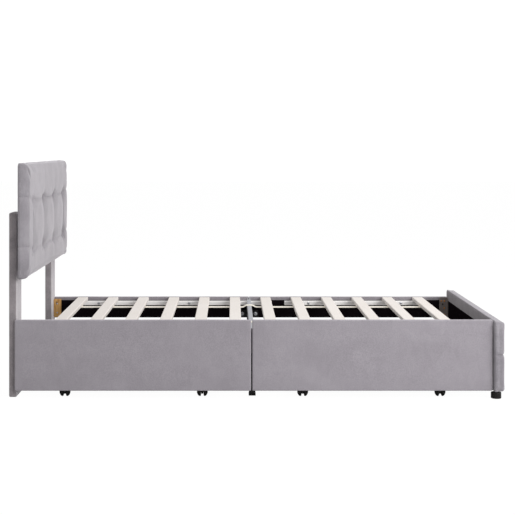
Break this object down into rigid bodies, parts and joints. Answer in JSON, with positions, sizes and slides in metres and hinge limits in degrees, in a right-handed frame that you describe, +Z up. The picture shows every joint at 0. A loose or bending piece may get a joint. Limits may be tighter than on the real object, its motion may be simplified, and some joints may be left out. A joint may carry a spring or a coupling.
{
  "type": "platform bed with storage drawers",
  "caption": "Upholstered platform bed with a button-tufted headboard, padded footboard, slatted deck and rolling storage drawers along one side.",
  "frame": {"origin": "on the floor under the centre of the whole bed", "axes": "+X from the headboard to the footboard, -Y the side that the drawers pull out of, +Z up"},
  "size_m": [2.082, 1.153, 0.985],
  "materials": {
    "velvet": "short-pile grey velvet with a soft sheen",
    "drawer_lining": "black non-woven lining over board",
    "ledger_wood": "pale painted timber strip",
    "block_wood": "raw pine block",
    "slat_wood": "cream painted slat",
    "webbing": "cream woven webbing",
    "grey_steel": "powder-coated grey steel",
    "black_steel": "black painted square tube",
    "black_plastic": "moulded black plastic",
    "wheel_black": "black nylon wheel with a softer tread"
  },
  "bodies": {
    "frame": {"headboard_panel": "velvet", "headboard_leg_near": "velvet", "headboard_leg_far": "velvet", "footboard_panel": "velvet", "footboard_foot_near": "black_plastic", "footboard_foot_far": "black_plastic", "near_rail_head": "velvet", "near_rail_foot": "velvet", "far_rail_head": "velvet", "far_rail_foot": "velvet", "near_ledger_head": "ledger_wood", "near_ledger_foot": "ledger_wood", "far_ledger_head": "ledger_wood", "far_ledger_foot": "ledger_wood", "corner_block_near": "block_wood", "corner_block_far": "block_wood", "corner_bracket_near": "grey_steel", "corner_bracket_far": "grey_steel", "centre_beam": "grey_steel", "centre_leg_near": "black_steel", "centre_leg_far": "black_steel", "slat_01": "slat_wood", "slat_02": "slat_wood", "slat_03": "slat_wood", "slat_04": "slat_wood", "slat_05": "slat_wood", "slat_06": "slat_wood", "slat_07": "slat_wood", "slat_08": "slat_wood", "slat_09": "slat_wood", "slat_10": "slat_wood", "slat_11": "slat_wood", "slat_12": "slat_wood", "slat_strap": "webbing"},
    "drawer_head": {"drawer_head_face": "velvet", "drawer_head_back": "drawer_lining", "drawer_head_side_left": "drawer_lining", "drawer_head_side_right": "drawer_lining", "drawer_head_bottom": "drawer_lining"},
    "drawer_head_caster_front_left": {"drawer_head_caster_front_left_housing": "black_plastic"},
    "drawer_head_caster_front_left_wheel_pair": {"drawer_head_caster_front_left_wheels": "wheel_black"},
    "drawer_head_caster_front_right": {"drawer_head_caster_front_right_housing": "black_plastic"},
    "drawer_head_caster_front_right_wheel_pair": {"drawer_head_caster_front_right_wheels": "wheel_black"},
    "drawer_head_caster_rear_left": {"drawer_head_caster_rear_left_housing": "black_plastic"},
    "drawer_head_caster_rear_left_wheel_pair": {"drawer_head_caster_rear_left_wheels": "wheel_black"},
    "drawer_head_caster_rear_right": {"drawer_head_caster_rear_right_housing": "black_plastic"},
    "drawer_head_caster_rear_right_wheel_pair": {"drawer_head_caster_rear_right_wheels": "wheel_black"},
    "drawer_foot": {"drawer_foot_face": "velvet", "drawer_foot_back": "drawer_lining", "drawer_foot_side_left": "drawer_lining", "drawer_foot_side_right": "drawer_lining", "drawer_foot_bottom": "drawer_lining"},
    "drawer_foot_caster_front_left": {"drawer_foot_caster_front_left_housing": "black_plastic"},
    "drawer_foot_caster_front_left_wheel_pair": {"drawer_foot_caster_front_left_wheels": "wheel_black"},
    "drawer_foot_caster_front_right": {"drawer_foot_caster_front_right_housing": "black_plastic"},
    "drawer_foot_caster_front_right_wheel_pair": {"drawer_foot_caster_front_right_wheels": "wheel_black"},
    "drawer_foot_caster_rear_left": {"drawer_foot_caster_rear_left_housing": "black_plastic"},
    "drawer_foot_caster_rear_left_wheel_pair": {"drawer_foot_caster_rear_left_wheels": "wheel_black"},
    "drawer_foot_caster_rear_right": {"drawer_foot_caster_rear_right_housing": "black_plastic"},
    "drawer_foot_caster_rear_right_wheel_pair": {"drawer_foot_caster_rear_right_wheels": "wheel_black"}
  },
  "joints": [
    {"name": "drawer_head_slide", "type": "slide", "parent": "frame", "child": "drawer_head", "axis": [0, -1, 0], "range_m": [0, 0.56]},
    {"name": "drawer_head_caster_front_left_swivel", "type": "hinge", "parent": "drawer_head", "child": "drawer_head_caster_front_left", "pos_m": [-0.80875, -0.482, 0.045], "axis": [0, 0, 1], "continuous": true},
    {"name": "drawer_head_caster_front_left_spin", "type": "hinge", "parent": "drawer_head_caster_front_left", "child": "drawer_head_caster_front_left_wheel_pair", "pos_m": [-0.80875, -0.494, 0.0185], "axis": [1, 0, 0], "continuous": true},
    {"name": "drawer_head_caster_front_right_swivel", "type": "hinge", "parent": "drawer_head", "child": "drawer_head_caster_front_right", "pos_m": [-0.22875, -0.482, 0.045], "axis": [0, 0, 1], "continuous": true},
    {"name": "drawer_head_caster_front_right_spin", "type": "hinge", "parent": "drawer_head_caster_front_right", "child": "drawer_head_caster_front_right_wheel_pair", "pos_m": [-0.22875, -0.494, 0.0185], "axis": [1, 0, 0], "continuous": true},
    {"name": "drawer_head_caster_rear_left_swivel", "type": "hinge", "parent": "drawer_head", "child": "drawer_head_caster_rear_left", "pos_m": [-0.80875, 0.0454, 0.045], "axis": [0, 0, 1], "continuous": true},
    {"name": "drawer_head_caster_rear_left_spin", "type": "hinge", "parent": "drawer_head_caster_rear_left", "child": "drawer_head_caster_rear_left_wheel_pair", "pos_m": [-0.80875, 0.0334, 0.0185], "axis": [1, 0, 0], "continuous": true},
    {"name": "drawer_head_caster_rear_right_swivel", "type": "hinge", "parent": "drawer_head", "child": "drawer_head_caster_rear_right", "pos_m": [-0.22875, 0.0454, 0.045], "axis": [0, 0, 1], "continuous": true},
    {"name": "drawer_head_caster_rear_right_spin", "type": "hinge", "parent": "drawer_head_caster_rear_right", "child": "drawer_head_caster_rear_right_wheel_pair", "pos_m": [-0.22875, 0.0334, 0.0185], "axis": [1, 0, 0], "continuous": true},
    {"name": "drawer_foot_slide", "type": "slide", "parent": "frame", "child": "drawer_foot", "axis": [0, -1, 0], "range_m": [0, 0.56]},
    {"name": "drawer_foot_caster_front_left_swivel", "type": "hinge", "parent": "drawer_foot", "child": "drawer_foot_caster_front_left", "pos_m": [0.195, -0.482, 0.045], "axis": [0, 0, 1], "continuous": true},
    {"name": "drawer_foot_caster_front_left_spin", "type": "hinge", "parent": "drawer_foot_caster_front_left", "child": "drawer_foot_caster_front_left_wheel_pair", "pos_m": [0.195, -0.494, 0.0185], "axis": [1, 0, 0], "continuous": true},
    {"name": "drawer_foot_caster_front_right_swivel", "type": "hinge", "parent": "drawer_foot", "child": "drawer_foot_caster_front_right", "pos_m": [0.775, -0.482, 0.045], "axis": [0, 0, 1], "continuous": true},
    {"name": "drawer_foot_caster_front_right_spin", "type": "hinge", "parent": "drawer_foot_caster_front_right", "child": "drawer_foot_caster_front_right_wheel_pair", "pos_m": [0.775, -0.494, 0.0185], "axis": [1, 0, 0], "continuous": true},
    {"name": "drawer_foot_caster_rear_left_swivel", "type": "hinge", "parent": "drawer_foot", "child": "drawer_foot_caster_rear_left", "pos_m": [0.195, 0.0454, 0.045], "axis": [0, 0, 1], "continuous": true},
    {"name": "drawer_foot_caster_rear_left_spin", "type": "hinge", "parent": "drawer_foot_caster_rear_left", "child": "drawer_foot_caster_rear_left_wheel_pair", "pos_m": [0.195, 0.0334, 0.0185], "axis": [1, 0, 0], "continuous": true},
    {"name": "drawer_foot_caster_rear_right_swivel", "type": "hinge", "parent": "drawer_foot", "child": "drawer_foot_caster_rear_right", "pos_m": [0.775, 0.0454, 0.045], "axis": [0, 0, 1], "continuous": true},
    {"name": "drawer_foot_caster_rear_right_spin", "type": "hinge", "parent": "drawer_foot_caster_rear_right", "child": "drawer_foot_caster_rear_right_wheel_pair", "pos_m": [0.775, 0.0334, 0.0185], "axis": [1, 0, 0], "continuous": true}
  ],
  "couplings": [
    {"joint": "drawer_head_caster_front_left_spin", "follows": "drawer_head_slide", "rad_per_m": 54.054},
    {"joint": "drawer_head_caster_front_right_spin", "follows": "drawer_head_slide", "rad_per_m": 54.054},
    {"joint": "drawer_head_caster_rear_left_spin", "follows": "drawer_head_slide", "rad_per_m": 54.054},
    {"joint": "drawer_head_caster_rear_right_spin", "follows": "drawer_head_slide", "rad_per_m": 54.054},
    {"joint": "drawer_foot_caster_front_left_spin", "follows": "drawer_foot_slide", "rad_per_m": 54.054},
    {"joint": "drawer_foot_caster_front_right_spin", "follows": "drawer_foot_slide", "rad_per_m": 54.054},
    {"joint": "drawer_foot_caster_rear_left_spin", "follows": "drawer_foot_slide", "rad_per_m": 54.054},
    {"joint": "drawer_foot_caster_rear_right_spin", "follows": "drawer_foot_slide", "rad_per_m": 54.054}
  ]
}
